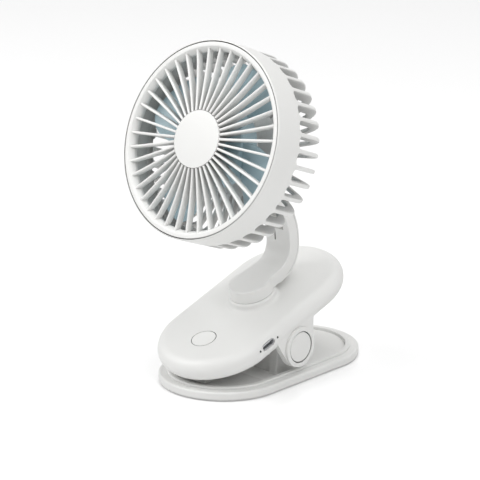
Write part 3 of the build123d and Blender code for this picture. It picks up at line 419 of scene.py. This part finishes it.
def grille_webs():
    """The webs: a strip with half-round edges, a little narrower behind, carried outwards
    from the hub. Its front edge is the parabola through three heights, and lower under the
    centre cap."""
    radius = np.concatenate([[web_root, cap_rim - cap_step], np.linspace(cap_rim, web_tip, web_steps)])
    front = np.polyval(np.polyfit(*web_fronts.T, 2), radius)
    front = np.where(radius < cap_rim, cap_seat, front)[:, None]
    turn = np.linspace(0, 2 * math.pi, web_section_steps, endpoint=False)
    a, b = np.cos(turn), np.sin(turn)
    half = web_width / 2 * (1 - web_back_taper * (b < 0))
    height = np.where(b > 0, front - half * (1 - b), web_back + half * (1 + b))
    radius, side = radius[:, None] + 0 * a, half * a
    angle = np.arange(rib_count)[:, None, None] * 2 * math.pi / rib_count
    return [in_head(radius * np.cos(t) - side * np.sin(t),
                    radius * np.sin(t) + side * np.cos(t), height) for t in angle]


# White ABS, moulded: a shade whiter than the housing, with soft shade between the webs.
grille_abs = satin_plastic("satin_white_ABS_grille_moulded", "#F0F0EE", "#ECECEA", 0.40,
                           shade_reach=5.0, shade_tone=0.55, open_sky=0.8)
ring_outline = [(ring_rim, 0), (ring_mouth, 0), (ring_bore, -ring_slope), (ring_bore, ring_back),
                (ring_foot, ring_back), (ring_foot, -seat_depth), (ring_rim, -seat_depth)]
grille_hub_outline = [(0, grille_hub_front), (grille_hub_rim, grille_hub_front),
                      (grille_hub_rim, web_back), (0, web_back)]
ring = in_head(*turned(round_corners(ring_outline, ring_round), band_steps))
grille_hub = in_head(*turned(round_corners(grille_hub_outline, grille_hub_round), hub_steps))
grille = build("grille", [ring, grille_hub], grille_webs(), grille_abs, "front_grille")
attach(grille, "head")
dress(button_abs, "centre_cap")

# ---------------------------------------------------------------- motor and rotor
# A small brushless motor in a pressed steel can. Its shaft carries the rotor, a moulding in
# pale blue polypropylene: a cup that goes over the can, and four twisted blades.

# Bare steel, pressed: darker than the plated screws, with a blurred gloss.
motor_can = bright_metal("pressed_steel_motor_can", "#8E9196", "#7B7E83", 0.32)
dress(motor_can, "motor")

cup_radius, cup_front, cup_back, cup_wall = 21.0 * MM, -8.5 * MM, -20.5 * MM, 1.4 * MM
shaft_boss, boss_back, cup_round, cup_steps = 3.0 * MM, -10.6 * MM, 1.0 * MM, 160
blade_count, blade_tip, tip_corner = 4, 43.0 * MM, 4.0 * MM
blade_root = cup_radius - 0.6 * MM                   # the blades run on into the cup's wall
blade_steps, tip_steps, blade_section_steps = 14, 9, 36
blade_thick, blade_camber, blade_fullness = 1.2 * MM, 1.4 * MM, 0.6
leading_z, trailing_z = -9.6 * MM, -19.4 * MM
# Where the blades' two edges lie, in degrees round the axis, from the hub out to the tip.
edge_radii = np.array([20.0, 26.0, 32.0, 38.0, 43.0]) * MM
leading_edge, trailing_edge = (102, 99, 95.5, 90, 83), (52, 46, 42, 39, 37)


def rotor_blades():
    """The blades: a thin lens-shaped section, cambered forwards by half a sine wave, carried
    from the hub to the tip between two swept edges, each a cubic fitted to its angles. Near
    the tip both edges turn in along a quarter circle, where the sections stand closer."""
    corner = np.cos(np.linspace(0, math.pi / 2, tip_steps)[1:]) ** 1.5
    radius = np.concatenate([np.linspace(blade_root, blade_tip - tip_corner, blade_steps),
                             blade_tip - tip_corner * corner])
    lead = np.polyval(np.polyfit(edge_radii, np.radians(leading_edge), 3), radius)
    trail = np.polyval(np.polyfit(edge_radii, np.radians(trailing_edge), 3), radius)
    inset = fillet_width(blade_tip - radius, tip_corner) / radius
    lead, trail, radius = (lead - inset)[:, None], (trail + inset)[:, None], radius[:, None]
    turn = np.linspace(0, 2 * math.pi, blade_section_steps, endpoint=False)
    along, face = (1 - np.cos(turn)) / 2, np.sin(turn)
    angle = lead + (trail - lead) * along
    height = leading_z + (trailing_z - leading_z) * along + blade_camber * np.sin(math.pi * along)
    height = height + blade_thick / 2 * np.sign(face) * np.abs(face) ** blade_fullness + 0 * angle
    return [in_head(radius * np.cos(angle + start), radius * np.sin(angle + start), height)
            for start in np.arange(blade_count) * 2 * math.pi / blade_count]


# Pale blue polypropylene, moulded: the fan's only colour, with a soft satin sheen.
blue_blades = satin_plastic("pale_blue_PP_rotor_moulded", "#B6CFD8", "#AFC8D1", 0.36)
cup_inside = cup_radius - cup_wall
cup_outline = [(0, cup_front), (cup_radius, cup_front), (cup_radius, cup_back), (cup_inside, cup_back),
               (cup_inside, cup_front - cup_wall), (shaft_boss, cup_front - cup_wall),
               (shaft_boss, boss_back), (0, boss_back)]
cup = in_head(*turned(round_corners(cup_outline, cup_round), cup_steps))
rotor = build("rotor", [cup], rotor_blades(), blue_blades, "impeller")
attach(rotor, "rotor")

# ---------------------------------------------------------------- studio
# A sheet of white acrylic as the floor, with a faint blurred mirror image in it, and an
# even white surround. Three soft square lamps: the main one at the upper left, a weaker
# one at the right and the weakest above.
floor_half, floor_glow = 3.0, 0.20
floor_mesh = bpy.data.meshes.new("studio_floor")
floor_corners = [(x * floor_half, y * floor_half, 0) for x, y in ((-1, -1), (1, -1), (1, 1), (-1, 1))]
floor_mesh.from_pydata(floor_corners, [], [(0, 1, 2, 3)])
floor = bpy.data.objects.new("studio_floor", floor_mesh)
bpy.context.scene.collection.objects.link(floor)

# Cast acrylic sheet: glossy and white. A glow that only the camera sees makes it as white
# as the surround, and the shadow on it stays.
floor_paint, tree, surface = new_material("white_acrylic_sheet_floor", Roughness=0.18)
surface.inputs["Base Color"].default_value = linear("#F4F4F4")
path = add(tree, "LightPath")
strength = add(tree, "Math", {1: floor_glow}, {0: path.outputs["Is Camera Ray"]}, operation="MULTIPLY")
glow = add(tree, "Emission", links={"Strength": strength.outputs[0]})
both = add(tree, "AddShader", links={0: surface.outputs[0], 1: glow.outputs[0]})
tree.links.new(both.outputs[0], tree.nodes["Material Output"].inputs["Surface"])
floor_mesh.materials.append(floor_paint)

# The surround lights the fan at surround_level, and is plain white where the camera sees
# it, also in a mirror or through something clear.
surround_level, surround_seen = 0.35, 1.0
world = bpy.data.worlds.new("white_surround")
bpy.context.scene.world = world
world.use_nodes = True
tree = world.node_tree
path = add(tree, "LightPath")
seen = path.outputs["Is Camera Ray"]
for kind in ("Is Glossy Ray", "Is Transmission Ray"):
    seen = add(tree, "Math", links={0: seen, 1: path.outputs[kind]}, operation="MAXIMUM").outputs[0]
level = add(tree, "MapRange", {"To Min": surround_level, "To Max": surround_seen}, {"Value": seen})
tree.links.new(level.outputs["Result"], tree.nodes["Background"].inputs["Strength"])
tree.nodes["Background"].inputs["Color"].default_value = (1, 1, 1, 1)

lamp_aim = Vector((0, 0, 0.09))


def soft_lamp(name, place, size, watts):
    """A square area lamp of the given size in metres, turned towards the fan."""
    data = bpy.data.lights.new(name, "AREA")
    data.shape, data.size, data.energy = "SQUARE", size, watts
    lamp = bpy.data.objects.new(name, data)
    lamp.location = place
    lamp.rotation_euler = (lamp_aim - Vector(place)).to_track_quat("-Z", "Y").to_euler()
    bpy.context.scene.collection.objects.link(lamp)


soft_lamp("lamp_upper_left", (-0.75, -0.9, 1.1), 0.9, 11.6)
soft_lamp("lamp_top", (0.1, 0.1, 1.3), 0.8, 5.0)
soft_lamp("lamp_right", (1.0, -0.25, 0.95), 0.8, 5.8)

# ---------------------------------------------------------------- camera
# The photograph is taken from the front right, a little above, with a long lens. The
# viewpoint was worked out from the ovals of the clip, the head and the housing.
azimuth, elevation, distance = math.radians(42.90), math.radians(16.77), 1.16385
lens_length, sensor_width, near, far = 165.0, 36.0, 0.05, 20.0
camera_aim = Vector((-20.78, 6.76, 63.39)) * MM
backwards = Vector((math.sin(azimuth) * math.cos(elevation), -math.cos(azimuth) * math.cos(elevation),
                    math.sin(elevation)))
camera_data = bpy.data.cameras.new("camera")
camera_data.lens, camera_data.sensor_width = lens_length, sensor_width
camera_data.clip_start, camera_data.clip_end = near, far
camera = bpy.data.objects.new("camera", camera_data)
camera.location = camera_aim + backwards * distance
camera.rotation_euler = (-backwards).to_track_quat("-Z", "Y").to_euler()
bpy.context.scene.collection.objects.link(camera)
bpy.context.scene.camera = camera
bpy.context.scene.view_settings.view_transform = "Standard"
